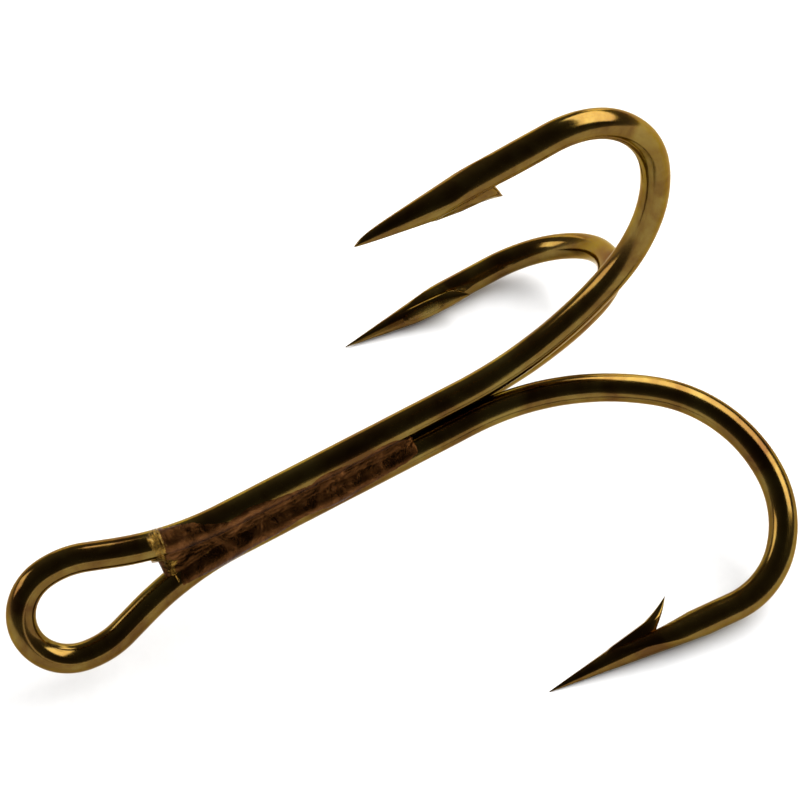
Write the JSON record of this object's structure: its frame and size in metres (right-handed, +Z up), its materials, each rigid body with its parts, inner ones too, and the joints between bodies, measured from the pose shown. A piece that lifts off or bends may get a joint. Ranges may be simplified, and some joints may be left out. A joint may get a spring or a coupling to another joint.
{
  "type": "treble hook",
  "caption": "Treble fishing hook: hooks of round wire brazed together around one shank, each with a long round bend, a ground point and a raised barb, under a teardrop eye.",
  "frame": {"origin": "centre of the eye's round end", "axes": "+Z up with the hook lying on a table on its two lower hooks; +X from the eye towards the bends, in the upright hook's plane, with the shank rising 8.15 degrees; +Y towards the far lower hook"},
  "size_m": [0.0526, 0.038, 0.0336],
  "materials": {
    "bronzed_wire": "glossy clear bronze lacquer over steel wire",
    "copper_braze": "rough, dull, reddish brown",
    "bright_braze": "bright golden, lumpy"
  },
  "bodies": {
    "root": {"double_hook": "bronzed_wire", "single_hook": "bronzed_wire", "throat_braze": "bright_braze", "near_groove_braze": "copper_braze", "far_groove_braze": "copper_braze", "lower_groove_braze": "copper_braze", "core_braze": "copper_braze"}
  },
  "joints": []
}
